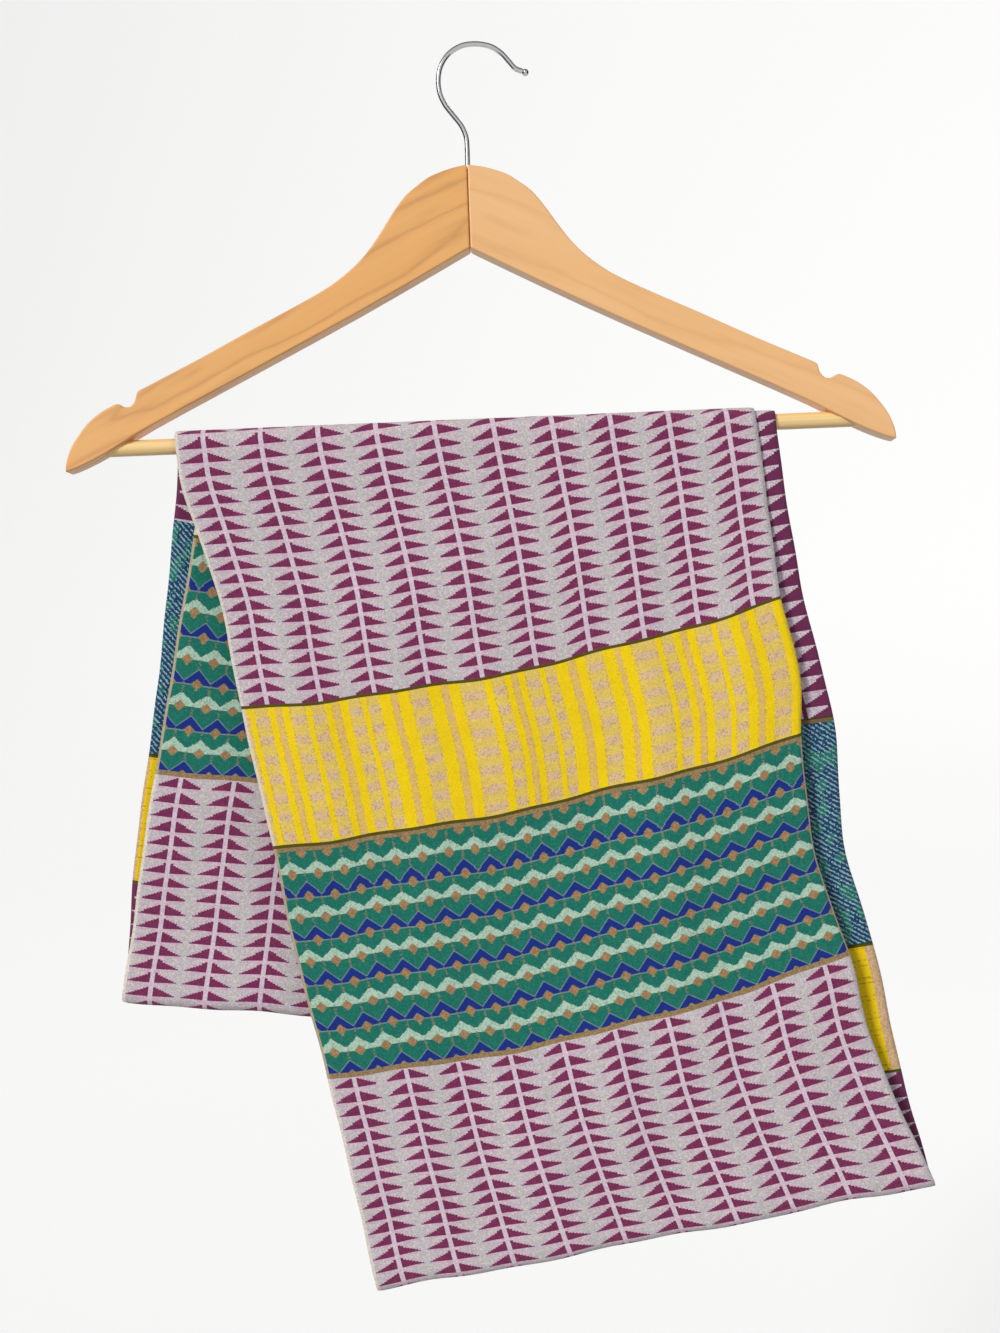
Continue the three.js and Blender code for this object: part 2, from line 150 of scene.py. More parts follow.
# Creases that run down the cloth: place across from -1 to 1, lean, width in mm,
# height in mm, start and end as places on the loop.
CREASES = (
    (-0.78, 0.05, 12, 1.7, 15, 235),
    (-0.42, -0.08, 15, 1.5, 40, 330),
    (-0.08, 0.06, 13, 1.6, 20, 215),
    (0.2, 0.08, 17, -0.8, 70, 310),
    (0.46, -0.06, 12, 1.8, 30, 390),
    (0.82, 0.04, 10, 1.3, 20, 280),
    (-0.7, -0.05, 13, 1.6, 290, 470),
    (-0.28, 0.08, 16, 1.9, 300, 480),
    (0.05, -0.1, 12, 1.6, 280, 465),
    (0.36, 0.1, 14, 1.9, 300, 490),
    (0.74, 0.1, 13, 1.7, 310, 475),
    (-0.3, 0.05, 24, 0.35, 560, 760),
    (0.5, -0.05, 18, 0.3, 620, 820),
    (-0.5, 0.05, 20, 0.35, 980, 1110),
    (0.3, 0.05, 22, 0.3, 960, 1110),
    (-0.62, 0.08, 14, 1.6, 1190, 1430),
    (-0.2, -0.05, 17, 1.3, 1200, 1400),
    (0.2, -0.06, 20, 1.2, 1240, 1500),
    (0.7, 0.05, 13, 1.5, 1190, 1500),
)
CREASE_FADES = (0.35, 0.6)
# The edges wander: height in mm, turns round the loop, shift.
WANDER = ((0.5, 14, 1), (0.4, 34, 0))
# The rows of the hanging cloth cockle: height in mm, turns across, turns round the loop, shift.
COCKLE = ((0.7, 8.3, 3, 0), (0.35, 21, 4, 2))
COCKLE_STARTS = (30, 60)
# Cells of the cloth. They are shorter near the bar and round the folds.
CELL_ACROSS = 110
CELL_ALONG = 3.0
CELL_AT_BAR = 1.5
CELL_AT_FOLD = 1.6
NEAR_BAR = 42


def srgb(text):
    """Linear colour of a hex colour."""
    value = [int(text[i:i + 2], 16) / 255 for i in (0, 2, 4)]
    line = [v / 12.92 if v <= 0.04045 else ((v + 0.055) / 1.055) ** 2.4 for v in value]
    return (*line, 1.0)


def fade(value, start, end):
    """0 up to the start and 1 from the end on, with a soft step between them."""
    k = np.clip((value - start) / (end - start), 0, 1)
    return k * k * (3 - 2 * k)


def column_at(rows, column, t):
    """Smooth curve through a column of a section table, read at t."""
    index = COLUMNS.index(column)
    at = np.array([row[1] for row in rows], float)
    value = np.array([row[index] for row in rows], float)
    last = len(rows) - 1
    before = np.maximum(np.arange(last + 1) - 1, 0)
    after = np.minimum(np.arange(last + 1) + 1, last)
    slope = (value[after] - value[before]) / (at[after] - at[before])
    i = np.clip(np.searchsorted(at, t, side="left") - 1, 0, last - 1)
    span = at[i + 1] - at[i]
    k = np.clip((t - at[i]) / span, 0, 1)
    near = (1 + 2 * k) * (1 - k) ** 2 * value[i]
    far = k * k * (3 - 2 * k) * value[i + 1]
    return near + far + k * (1 - k) * ((1 - k) * slope[i] - k * slope[i + 1]) * span


def station_at(ring):
    """Share of the inner layer, t and fold distance at places on the loop."""
    c = np.mod(ring, LOOP_LENGTH)
    front = (c - FRONT_RUN) / FOLD_RADIUS
    back = (c - BACK_TURN) / FOLD_RADIUS
    zones = [
        c <= FRONT_RUN,
        c < FRONT_RUN + FOLD_ARC,
        c <= BACK_TURN,
        c < BACK_TURN + FOLD_ARC,
    ]
    inner = np.select(zones, [0 * c, front / math.pi, 1 + 0 * c, 1 - back / math.pi], 0)
    t_front = FRONT_RUN + FOLD_RADIUS * np.sin(front)
    t_inner = FRONT_RUN - (c - FRONT_RUN - FOLD_ARC)
    t_back = -BACK_RUN - FOLD_RADIUS * np.sin(back)
    t = np.select(zones, [c, t_front, t_inner, t_back], c - LOOP_LENGTH)
    out_front = FOLD_MIDDLE + FOLD_RADIUS * np.cos(front)
    out_back = FOLD_MIDDLE - FOLD_RADIUS * np.cos(back)
    nothing = np.full_like(c, np.nan)
    out = np.select(zones, [nothing, out_front, nothing, out_back], np.nan)
    return inner, t, out


def ring_of(layer, t):
    if layer == "inner":
        return INNER_BAR_RING - t
    return LOOP_LENGTH + t if t < 0 else t


def section_at(inner, t, column):
    outside = column_at(OUTER_LAYER, column, t)
    inside = column_at(INNER_LAYER, column, t)
    return (1 - inner) * outside + inner * inside


def wave_at(across, ring):
    total = 0
    for height, over, along, shift in WAVES:
        turns = along * ring / LOOP_LENGTH
        total = total + height * np.sin(np.pi * (over * across + 2 * turns) + shift)
    return total


def crease_at(across, ring):
    total = 0
    ring = np.mod(ring, LOOP_LENGTH)
    for place, lean, width, height, start, end in CREASES:
        k = (ring - start) / (end - start)
        centre = place + lean * (k - 0.5) * 2
        side = (across - centre) * WIDTH / 2 / width
        ends = fade(k, 0, CREASE_FADES[0]) * (1 - fade(k, CREASE_FADES[1], 1))
        total = total + height * np.exp(-side * side) * ends
    return total


def cloth_point(ring, across):
    """Middle of the cloth. across runs from -1 at the left edge to 1 at the right edge."""
    inner, t_row, fold_out = station_at(ring)
    tilt = np.radians(section_at(inner, t_row, "tilt"))
    turn = 2 * np.pi * ring / LOOP_LENGTH
    wander = sum(height * np.sin(n * turn + shift) for height, n, shift in WANDER)
    side = across * (section_at(inner, t_row, "width") + wander) / 2
    bow = section_at(inner, t_row, "bow") * (1 - across * across)
    x = section_at(inner, t_row, "x") + side * np.cos(tilt)
    cockle = 0
    for height, over, n, shift in COCKLE:
        cockle = cockle + height * np.sin(across * over + shift + n * turn)
    down = np.sign(t_row) * fade(np.abs(t_row), *COCKLE_STARTS)
    t = t_row - side * np.sin(tilt) + np.sign(t_row) * bow + down * cockle
    on_bar = OUTER_OUT + (INNER_OUT - OUTER_OUT) * inner
    hanging = np.where(np.isnan(fold_out), section_at(inner, t_row, "out"), fold_out)
    hanging = hanging + wave_at(across, ring) + crease_at(across, ring)
    free = fade(np.abs(t), WRAP_END, WRAP_END + BULGE_LENGTH)
    out = on_bar + (hanging - on_bar) * free
    angle = np.clip(t, -QUARTER_WRAP, QUARTER_WRAP) / WRAP_RADIUS
    drop = np.maximum(np.abs(t) - QUARTER_WRAP, 0)
    y = -out * np.sin(angle)
    z = BAR_Z + out * np.cos(angle) - drop
    return np.stack([x, y, z], -1)


def cloth_normal(ring, across):
    """Unit normal of the cloth, towards its right side."""
    step = 0.02
    along = cloth_point(ring + step, across) - cloth_point(ring - step, across)
    over = cloth_point(ring, across + step / 100) - cloth_point(ring, across - step / 100)
    normal = np.cross(along, over)
    return normal / np.linalg.norm(normal, axis=-1, keepdims=True)


def ring_rows(start, end):
    """Places of a band's rows on the loop."""
    rows = [start]
    while rows[-1] < end - 0.5:
        t, fold_out = (value[0] for value in station_at(np.array([rows[-1] + 1.0]))[1:])
        step = CELL_ALONG if np.isnan(fold_out) else CELL_AT_FOLD
        step = CELL_AT_BAR if abs(t) < NEAR_BAR else step
        rows.append(min(rows[-1] + step, end))
    rows[-1] = end
    return np.array(rows)


def new_object(name, points, faces):
    mesh = bpy.data.meshes.new(name)
    mesh.from_pydata(np.asarray(points).tolist(), [], faces)
    mesh.validate()
    mesh.polygons.foreach_set("use_smooth", [True] * len(mesh.polygons))
    piece = bpy.data.objects.new(name, mesh)
    bpy.context.scene.collection.objects.link(piece)
    return piece


def pattern_place(index, ring, across, start, end):
    """Place along the band's pattern, in mm from its start."""
    length = BAND_LENGTH[BANDS[index][2]]
    if index != 0:
        hidden = LAST_ROW_HIDDEN if index == len(BANDS) - 1 else 0
        return (ring - start) / (end - start) * (length - hidden)
    scale = ROWS_CLOSER + ROWS_CLOSER_RIGHT * across
    bow = column_at(OUTER_LAYER, "bow", ring)
    sag = np.maximum(ROW_SAG - bow, 0) * fade(ring, *SAG_STARTS)
    return length - (end - ring) * scale - sag * (1 - across * across)


def make_band(index):
    """Closed thin wall of one band, with its right side, wrong side and edge faces."""
    name, node, knit, layer, t = BANDS[index]
    following = BANDS[(index + 1) % len(BANDS)]
    end = ring_of(following[3], following[4])
    start = ring_of(layer, t)
    if start > end:
        start -= LOOP_LENGTH
    rows = ring_rows(start, end)
    across = np.linspace(-1, 1, CELL_ACROSS + 1)
    ring_grid, across_grid = np.meshgrid(rows, across, indexing="ij")
    middle = cloth_point(ring_grid, across_grid)
    normal = cloth_normal(ring_grid, across_grid)
    at_edge = np.abs(across_grid) > 0.999
    half = normal * (WALL / 2 * (1 - EDGE_THINNER * at_edge))[..., None]
    points = np.concatenate([(middle + half).reshape(-1, 3), (middle - half).reshape(-1, 3)])
    lines, places = len(rows), len(across)
    inside = lines * places

    i, j = np.meshgrid(np.arange(lines - 1), np.arange(places - 1), indexing="ij")
    a = (i * places + j).ravel()
    outer = np.stack([a, a + places, a + places + 1, a + 1], 1)
    inner = outer[:, ::-1] + inside
    r = np.arange(lines - 1) * places
    left = np.stack([r, r + inside, r + places + inside, r + places], 1)
    e = r + places - 1
    right = np.stack([e, e + places, e + places + inside, e + inside], 1)
    c = np.arange(places - 1)
    first = np.stack([c, c + 1, c + 1 + inside, c + inside], 1)
    b = (lines - 1) * places + c
    last = np.stack([b, b + inside, b + 1 + inside, b + 1], 1)
    groups = [outer, inner, left, right, first, last]
    faces = np.concatenate(groups)
    kinds = np.concatenate([np.full(len(g), k) for g, k in zip(groups, (0, 1, 2, 2, 3, 3))])

    piece = new_object(name, points * MM, faces.tolist())
    mesh = piece.data
    mesh.polygons.foreach_set("material_index", kinds.astype(np.int32))
    layer_uv = mesh.uv_layers.new(name="knit")
    along = pattern_place(index, ring_grid, across_grid, start, end)
    place = np.stack([(across_grid + 1) / 2 * WIDTH, along], -1).reshape(-1, 2) * MM
    place = np.concatenate([place, place])
    corners = np.empty(len(mesh.loops), np.int32)
    mesh.loops.foreach_get("vertex_index", corners)
    layer_uv.uv.foreach_set("vector", place[corners].astype(np.float32).ravel())
    mark_sharp(mesh, kinds)
    for material in (KNIT[knit, "right"], KNIT[knit, "wrong"], SELVEDGE, SEAM_END):
        mesh.materials.append(material)

    span = (end - start) / math.cos(STRIP_TURN)
    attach(piece, "root")
    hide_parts(node)
    rests = "trouser_bar" if index in (0, 6, 7) else BANDS[index - 1][0]
    return piece, (WIDTH * MM, span * MM), rests


def mark_sharp(mesh, kinds):
    """Marks the edges between the two faces of the cloth and its ends as sharp."""
    edge_kinds = {}
    for polygon, kind in zip(mesh.polygons, kinds):
        for key in polygon.edge_keys:
            edge_kinds.setdefault(key, set()).add(int(kind))
    flags = [3 in edge_kinds[e.key] and len(edge_kinds[e.key]) > 1 for e in mesh.edges]
    attribute = mesh.attributes.new("sharp_edge", "BOOLEAN", "EDGE")
    attribute.data.foreach_set("value", flags)


class Look:
    """A node material, with short calls for the nodes that its pattern needs."""

    def __init__(self, name):
        self.material = bpy.data.materials.new(name)
        self.material.use_nodes = True
        self.tree = self.material.node_tree
        self.tree.nodes.clear()
        self.shader = self.add("ShaderNodeBsdfPrincipled")
        output = self.add("ShaderNodeOutputMaterial")
        self.join(self.shader.outputs[0], output.inputs[0])

    def add(self, kind):
        return self.tree.nodes.new(kind)

    def join(self, source, target):
        self.tree.links.new(source, target)

    def put(self, socket, value):
        if isinstance(value, bpy.types.NodeSocket):
            self.join(value, socket)
        else:
            socket.default_value = value

    def math(self, operation, *values):
        node = self.add("ShaderNodeMath")
        node.operation = operation
        for socket, value in zip(node.inputs, values):
            self.put(socket, value)
        return node.outputs[0]

    def plus(self, a, b):
        return self.math("ADD", a, b)

    def minus(self, a, b):
        return self.math("SUBTRACT", a, b)

    def times(self, a, b):
        return self.math("MULTIPLY", a, b)

    def below(self, a, b):
        return self.math("LESS_THAN", a, b)

    def above(self, a, b):
        return self.math("GREATER_THAN", a, b)

    def both(self, *masks):
        total = masks[0]
        for mask in masks[1:]:
            total = self.times(total, mask)
        return total

    def either(self, *masks):
        total = masks[0]
        for mask in masks[1:]:
            total = self.math("MAXIMUM", total, mask)
        return total

    def without(self, mask):
        return self.minus(1.0, mask)

    def repeat(self, a, period):
        return self.math("FLOORED_MODULO", a, period)

    def size(self, a):
        return self.math("ABSOLUTE", a)

    def mix(self, share, a, b):
        node = self.add("ShaderNodeMix")
        node.data_type = "RGBA"
        self.put(node.inputs["Factor"], share)
        self.put(node.inputs["A"], a)
        self.put(node.inputs["B"], b)
        return node.outputs["Result"]

    def scaled(self, colour, value):
        node = self.add("ShaderNodeVectorMath")
        node.operation = "SCALE"
        self.put(node.inputs[0], colour)
        self.put(node.inputs["Scale"], value)
        return node.outputs[0]

    def vector(self, x, y, z=0.0):
        node = self.add("ShaderNodeCombineXYZ")
        for socket, value in zip(node.inputs, (x, y, z)):
            self.put(socket, value)
        return node.outputs[0]

    def split(self, vector):
        node = self.add("ShaderNodeSeparateXYZ")
        self.join(vector, node.inputs[0])
        return node.outputs

    def noise(self, vector, scale, detail):
        node = self.add("ShaderNodeTexNoise")
        self.join(vector, node.inputs["Vector"])
        node.inputs["Scale"].default_value = scale
        node.inputs["Detail"].default_value = detail
        return node.outputs["Fac"]

    def random(self, vector):
        node = self.add("ShaderNodeTexWhiteNoise")
        node.noise_dimensions = "3D"
        self.join(vector, node.inputs["Vector"])
        return node.outputs["Value"]

    def chart(self, value, stops):
        """Steps of three numbers each, read as a colour ramp without blending."""
        node = self.add("ShaderNodeValToRGB")
        node.color_ramp.interpolation = "CONSTANT"
        elements = node.color_ramp.elements
        elements[0].position, elements[0].color = stops[0]
        elements[1].position, elements[1].color = stops[-1]
        for position, colour in stops[1:-1]:
            elements.new(position).color = colour
        self.put(node.inputs[0], value)
        return node.outputs["Color"]

    def bump(self, height, distance, strength):
        node = self.add("ShaderNodeBump")
        node.inputs["Strength"].default_value = strength
        node.inputs["Distance"].default_value = distance
        self.join(height, node.inputs["Height"])
        self.join(node.outputs[0], self.shader.inputs["Normal"])


# Knit gauge in mm. RIM is the width of the selvedge on the right side.
STITCH = 0.75
ROW = 0.64
RIM = 1.3
# Relief in mm, unevenness of the wool and painted shade in the grooves between stitches.
STITCH_RELIEF = 0.28
PATCH_SCALE = 0.09
PATCH_CONTRAST = 0.16
FUZZ_SCALE = 1.7
GROOVE_PAINTED_SHADE = 0.22
# Colours of the wool
PURPLE = srgb("7B2C58")
PURPLE_BACK = srgb("722A55")
LILAC = srgb("DABACF")
STEM = srgb("DECBDA")
GREY = srgb("CAC7C9")
YELLOW = srgb("FFDC04")
AMBER = srgb("F6C400")
SAND = srgb("E9CA6E")
STRAW = srgb("F3D25A")
BLUSH = srgb("E5C09E")
SPECKLE = srgb("C09A72")
TEAL = srgb("147567")
MOSS = srgb("2A805E")
BLUE = srgb("0F2E88")
MINT = srgb("B6D2C0")
BROWN = srgb("A37C57")
BROWN_LIGHT = srgb("B69067")
BAND_TAN = srgb("917750")
DASH = srgb("8A8060")
OUTLINE = srgb("8CA0A2")
OLIVE = srgb("5A500C")
CREAM = srgb("E6DDD0")
NAVY = srgb("17426B")
AQUA = srgb("94C2CA")
SEA = srgb("237D70")


class Knit(Look):
    """Knitted cloth. x is the place across and y along the band, in mm, one value a stitch.

    fine_x and fine_y are the same places without the steps of the stitches.
    """

    def __init__(self, name):
        super().__init__(name)
        uv = self.add("ShaderNodeUVMap")
        uv.uv_map = "knit"
        x, y, _ = self.split(uv.outputs[0])
        self.fine_x = self.times(x, 1000.0)
        self.fine_y = self.times(y, 1000.0)
        column = self.math("FLOOR", self.times(self.fine_x, 1 / STITCH))
        line = self.math("FLOOR", self.times(self.fine_y, 1 / ROW))
        self.x = self.times(self.plus(column, 0.5), STITCH)
        self.y = self.times(self.plus(line, 0.5), ROW)
        self.speck = self.random(self.vector(column, line))
        self.place = self.vector(self.fine_x, self.fine_y)

    def finish(self, colour, contrast, relief=None):
        """Heathered colour with painted shade in the grooves, stitch relief and a soft woollen
        sheen.

        contrast is how far single stitches differ in brightness.
        """
        patch = self.noise(self.place, PATCH_SCALE, 3.0)
        shade = self.plus(1 - contrast / 2, self.times(self.speck, contrast))
        shade = self.plus(shade, self.times(self.minus(patch, 0.5), PATCH_CONTRAST))
        stitch = self.repeat(self.times(self.fine_x, 1 / STITCH), 1.0)
        across = self.size(self.minus(stitch, 0.5))
        slant = self.plus(self.times(self.fine_y, 1 / ROW), self.times(across, 1.1))
        rise = self.size(self.minus(self.repeat(slant, 1.0), 0.5))
        groove = self.plus(self.times(across, 0.9), self.times(rise, 0.7))
        # Painted shade: the grooves between stitches are darkened in the colour.
        shade = self.times(shade, self.minus(1.07, self.times(groove, GROOVE_PAINTED_SHADE)))
        self.join(self.scaled(colour, shade), self.shader.inputs["Base Color"])
        fuzz = self.noise(self.place, FUZZ_SCALE, 2.0)
        height = self.minus(fuzz, self.times(groove, 1.2))
        if relief is not None:
            height = self.plus(height, relief)
        self.bump(height, STITCH_RELIEF * MM, 0.6)
        self.shader.inputs["Roughness"].default_value = 0.92
        self.shader.inputs["Sheen Weight"].default_value = 0.12
        self.shader.inputs["Sheen Roughness"].default_value = 0.5
        self.shader.inputs["Specular IOR Level"].default_value = 0.2
        return self.material


# Triangle bands. Distances are in mm from the middle of a stem, or from a triangle.
STEM_PITCH = 30.0
STEM_HALF = 1.25
TRIANGLE_LENGTH = 12.0
TRIANGLE_HEIGHT = 5.8
TRIANGLE_PITCH = 7.76
TRIANGLE_LENGTH_BACK = 13.6
TRIANGLE_HEIGHT_BACK = 6.4
GREY_MARGIN = 1.0
GREY_END = 1.3
GREY_START = 3.8
GREY_COLUMN = 12.9
TIP_START = 9.5
SEAM_WIDTH = 0.9


def triangle_masks(k, length, height):
    """Distance from the stem, masks of the stem and triangles, and distance above the triangle."""
    side = k.size(k.minus(k.repeat(k.fine_x, STEM_PITCH), STEM_PITCH / 2))
    up = k.repeat(k.minus(BAND_LENGTH["triangles"], k.y), TRIANGLE_PITCH)
    steps = k.math("FLOOR", k.times(k.minus(side, STEM_HALF), 1 / (2 * STITCH)))
    reach = k.times(k.plus(steps, 0.3), 2 * STITCH / length)
    rise = k.times(k.minus(1.0, reach), height)
    stem = k.below(side, STEM_HALF)
    triangle = k.both(k.below(up, rise), k.without(stem))
    return side, stem, triangle, up, k.minus(up, rise)


def triangles_right():
    k = Knit("knit_triangles_right")
    side, stem, triangle, up, over = triangle_masks(k, TRIANGLE_LENGTH, TRIANGLE_HEIGHT)
    wedge = k.both(
        k.above(over, GREY_MARGIN),
        k.below(up, TRIANGLE_PITCH - GREY_END),
        k.above(side, GREY_START),
    )
    grey = k.either(k.times(wedge, 0.85), k.above(side, GREY_COLUMN))
    tip = k.both(triangle, k.above(side, TIP_START))
    ground = k.mix(k.times(grey, 0.9), LILAC, GREY)
    ground = k.mix(k.times(k.above(k.speck, 0.86), 0.5), ground, srgb("DCD3C0"))
    ground = k.mix(stem, ground, STEM)
    rich = k.mix(k.times(k.above(k.speck, 0.7), 0.5), PURPLE, srgb("8C3557"))
    rich = k.mix(k.times(tip, 0.5), rich, srgb("5E4A58"))
    colour = k.mix(triangle, ground, rich)
    colour = k.mix(k.below(k.x, RIM), colour, CREAM)
    seam = k.above(k.fine_y, BAND_LENGTH["triangles"] - SEAM_WIDTH)
    return k.finish(k.mix(seam, colour, OLIVE), contrast=0.32)


def triangles_wrong():
    k = Knit("knit_triangles_wrong")
    triangle = triangle_masks(k, TRIANGLE_LENGTH_BACK, TRIANGLE_HEIGHT_BACK)[2]
    pale = k.mix(k.speck, srgb("CBB0C3"), srgb("E2D7DF"))
    colour = k.mix(triangle, PURPLE_BACK, pale)
    seam = k.above(k.fine_y, BAND_LENGTH["triangles"] - SEAM_WIDTH)
    return k.finish(k.mix(seam, colour, OLIVE), contrast=0.2)


# Stripe bands: kind of each stripe and where it ends, from the left edge to the right edge.
STRIPES = (
    ("sand", 3.7), ("yellow", 7), ("sand", 15), ("yellow", 18.7), ("dots", 22.5),
    ("yellow", 26.7), ("sand", 35.3), ("yellow", 38.3), ("sand", 45.8), ("yellow", 50.3),
    ("dots", 54.2), ("yellow", 58.7), ("sand", 66.3), ("yellow", 69.7), ("sand", 76.7),
    ("yellow", 83), ("dots", 87), ("yellow", 93.7), ("sand", 103.7), ("yellow", 110.8),
    ("dots", 115), ("yellow", 121.7), ("sand", 135.3), ("yellow", 139.2), ("sand", 146.3),
    ("yellow", 149.8), ("dots", 153), ("yellow", 157.5), ("sand", 165.8), ("yellow", 168.7),
    ("sand", 174.2), ("yellow", 181.3), ("dots", 185.3), ("yellow", 191.3), ("sand", 200.5),
    ("yellow", 207), ("dots", 210.8), ("yellow", 216.7), ("sand", 229.7), ("yellow", 233),
    ("sand", 240), ("yellow", 243.3), ("dots", 247.5), ("yellow", 251.7), ("sand", 260.8),
    ("yellow", 263.7), ("sand", 270.3), ("yellow", 275.8), ("dots", 279.7), ("yellow", 284.7),
    ("sand", 294.2), ("yellow", 300),
)
STRIPE_LEVEL = {"yellow": 0.0, "sand": 0.5, "dots": 1.0}
# Half widths are divided by this in the chart, so that they stay below 1.
HALF_SCALE = 20.0
# Oval spots on the sand stripes, and dashes on the narrow ones.
BLOB_PITCH = 10.4
BLOB_START = 8.2
BLOB_SHORTER = 1.75
DASH_PITCH = 3.2
DASH_LENGTH = 1.1
# Seam lines at the start and the end of the band, on the right side and the wrong side.
LINE_AT_START = 0.8
LINE_AT_END = {"right": 1.3, "wrong": 1.1}
# On the wrong side: where cross threads start and end, and the tan edges.
CROSS_THREADS = ((1.0, 1.7), (4.0, 4.7))
TAN_EDGES = (1.5, 294.6)


def stripe_table(k, low, high):
    """Distance from the middle of the stripe at x, as a share of its half width, and its kind."""
    stops = []
    at = 0.0
    for kind, end in STRIPES:
        if end > low and at < high:
            middle = ((at + end) / 2 - low) / (high - low)
            position = max(0.0, (at - low) / (high - low))
            width, level = end - at, STRIPE_LEVEL[kind]
            stops.append((position, (middle, width / 2 / HALF_SCALE, level, 1.0)))
        at = end
    place = k.times(k.minus(k.x, low), 1 / (high - low))
    middle, half, kind = k.split(k.chart(place, stops))
    side = k.times(k.size(k.minus(place, middle)), high - low)
    return k.math("DIVIDE", side, k.times(half, HALF_SCALE)), kind


def stripe_ends(k, face):
    """Mask of the seam lines at both ends of the band."""
    last = BAND_LENGTH["stripes"] - LINE_AT_END[face]
    return k.either(k.below(k.fine_y, LINE_AT_START), k.above(k.fine_y, last))


def stripes_right():
    k = Knit("knit_stripes_right")
    half = WIDTH / 2
    first = stripe_table(k, 0.0, half)
    second = stripe_table(k, half, WIDTH)
    later = k.above(k.x, half)

    def pick(a, b):
        return k.plus(k.times(a, k.without(later)), k.times(b, later))

    side, kind = (pick(a, b) for a, b in zip(first, second))
    striped = k.above(kind, STRIPE_LEVEL["sand"] / 2)
    dots = k.above(kind, (STRIPE_LEVEL["sand"] + STRIPE_LEVEL["dots"]) / 2)
    phase = k.repeat(k.plus(k.y, BLOB_PITCH / 2 - BLOB_START), BLOB_PITCH)
    along = k.times(k.size(k.minus(phase, BLOB_PITCH / 2)), 2 / BLOB_PITCH)
    wide = k.math("POWER", k.math("MAXIMUM", side, 0.01), 4.0)
    tall = k.math("POWER", k.math("MAXIMUM", k.times(along, BLOB_SHORTER), 0.01), 4.0)
    oval = k.plus(k.plus(k.times(wide, 0.9), tall), k.times(k.speck, 0.5))
    blob = k.without(k.math("SMOOTH_MIN", oval, 1.0, 0.2))
    blob = k.math("MINIMUM", k.times(blob, 2.2), 1.0)
    ground = k.mix(k.times(k.speck, 0.7), SAND, STRAW)
    spot = k.mix(k.times(k.below(k.speck, 0.2), 0.5), BLUSH, SPECKLE)
    sand = k.mix(k.times(blob, 0.85), ground, spot)
    edge = k.both(k.above(side, 0.8), k.below(k.speck, 0.3), k.below(side, 1.3))
    dashed = k.below(k.repeat(k.y, DASH_PITCH), DASH_LENGTH)
    dash = k.both(dots, dashed, k.below(side, 0.6))
    sand = k.mix(k.times(dots, 0.6), sand, srgb("EDC04C"))
    sand = k.mix(k.times(dash, 0.6), sand, BLUSH)
    deep = k.mix(k.times(k.above(k.speck, 0.75), 0.4), YELLOW, AMBER)
    colour = k.mix(striped, deep, sand)
    colour = k.mix(k.times(edge, 0.35), colour, SPECKLE)
    colour = k.mix(k.below(k.x, RIM), colour, CREAM)
    ends = stripe_ends(k, "right")
    ridge = k.times(k.without(striped), 1.6)
    return k.finish(k.mix(ends, colour, OLIVE), contrast=0.18, relief=ridge)


def stripes_wrong():
    k = Knit("knit_stripes_wrong")
    line = k.repeat(k.y, BLOB_PITCH)
    threads = [k.both(k.above(line, start), k.below(line, end)) for start, end in CROSS_THREADS]
    cross = k.either(*threads)
    dotted = k.both(cross, k.below(k.speck, 0.6))
    gold = k.mix(k.times(k.speck, 0.4), srgb("FFDA08"), AMBER)
    colour = k.mix(k.times(dotted, 0.55), gold, srgb("9A7410"))
    rim = k.either(k.above(k.x, TAN_EDGES[1]), k.below(k.x, TAN_EDGES[0]))
    tan = k.mix(k.speck, srgb("D3A878"), srgb("E3C39C"))
    colour = k.mix(rim, colour, tan)
    ends = stripe_ends(k, "wrong")
    return k.finish(k.mix(ends, colour, OLIVE), contrast=0.16, relief=k.times(cross, -1.2))


# Zigzag bands: rows of mint and blue peaks in turn, half a pitch apart. Each row has a flat
# base, and its height and slope are those of its peaks. The blue ones have a pale outline.
PEAK_PITCH = 15.0
ROW_PITCH = 23.6
MINT_BASE = 15.0
MINT_HEIGHT = 7.0
MINT_SLOPE = 0.67
BLUE_BASE = 27.2
BLUE_HEIGHT = 8.1
BLUE_SLOPE = 0.87
OUTLINE_WIDTH = 0.65
DIAMOND_HALF = 3.2
DIAMOND_RIM = 0.8
# Tan lines at the band's start and end, and where the first row of peaks may start.
FIRST_TAN = 2.4
FIRST_PEAK = 6.2
LAST_TAN = 2.7
# On the wrong side the floats run aslant, in dashes.
FLOAT_SLANT = (0.62, 0.78)
FLOAT_PITCH = 2.2


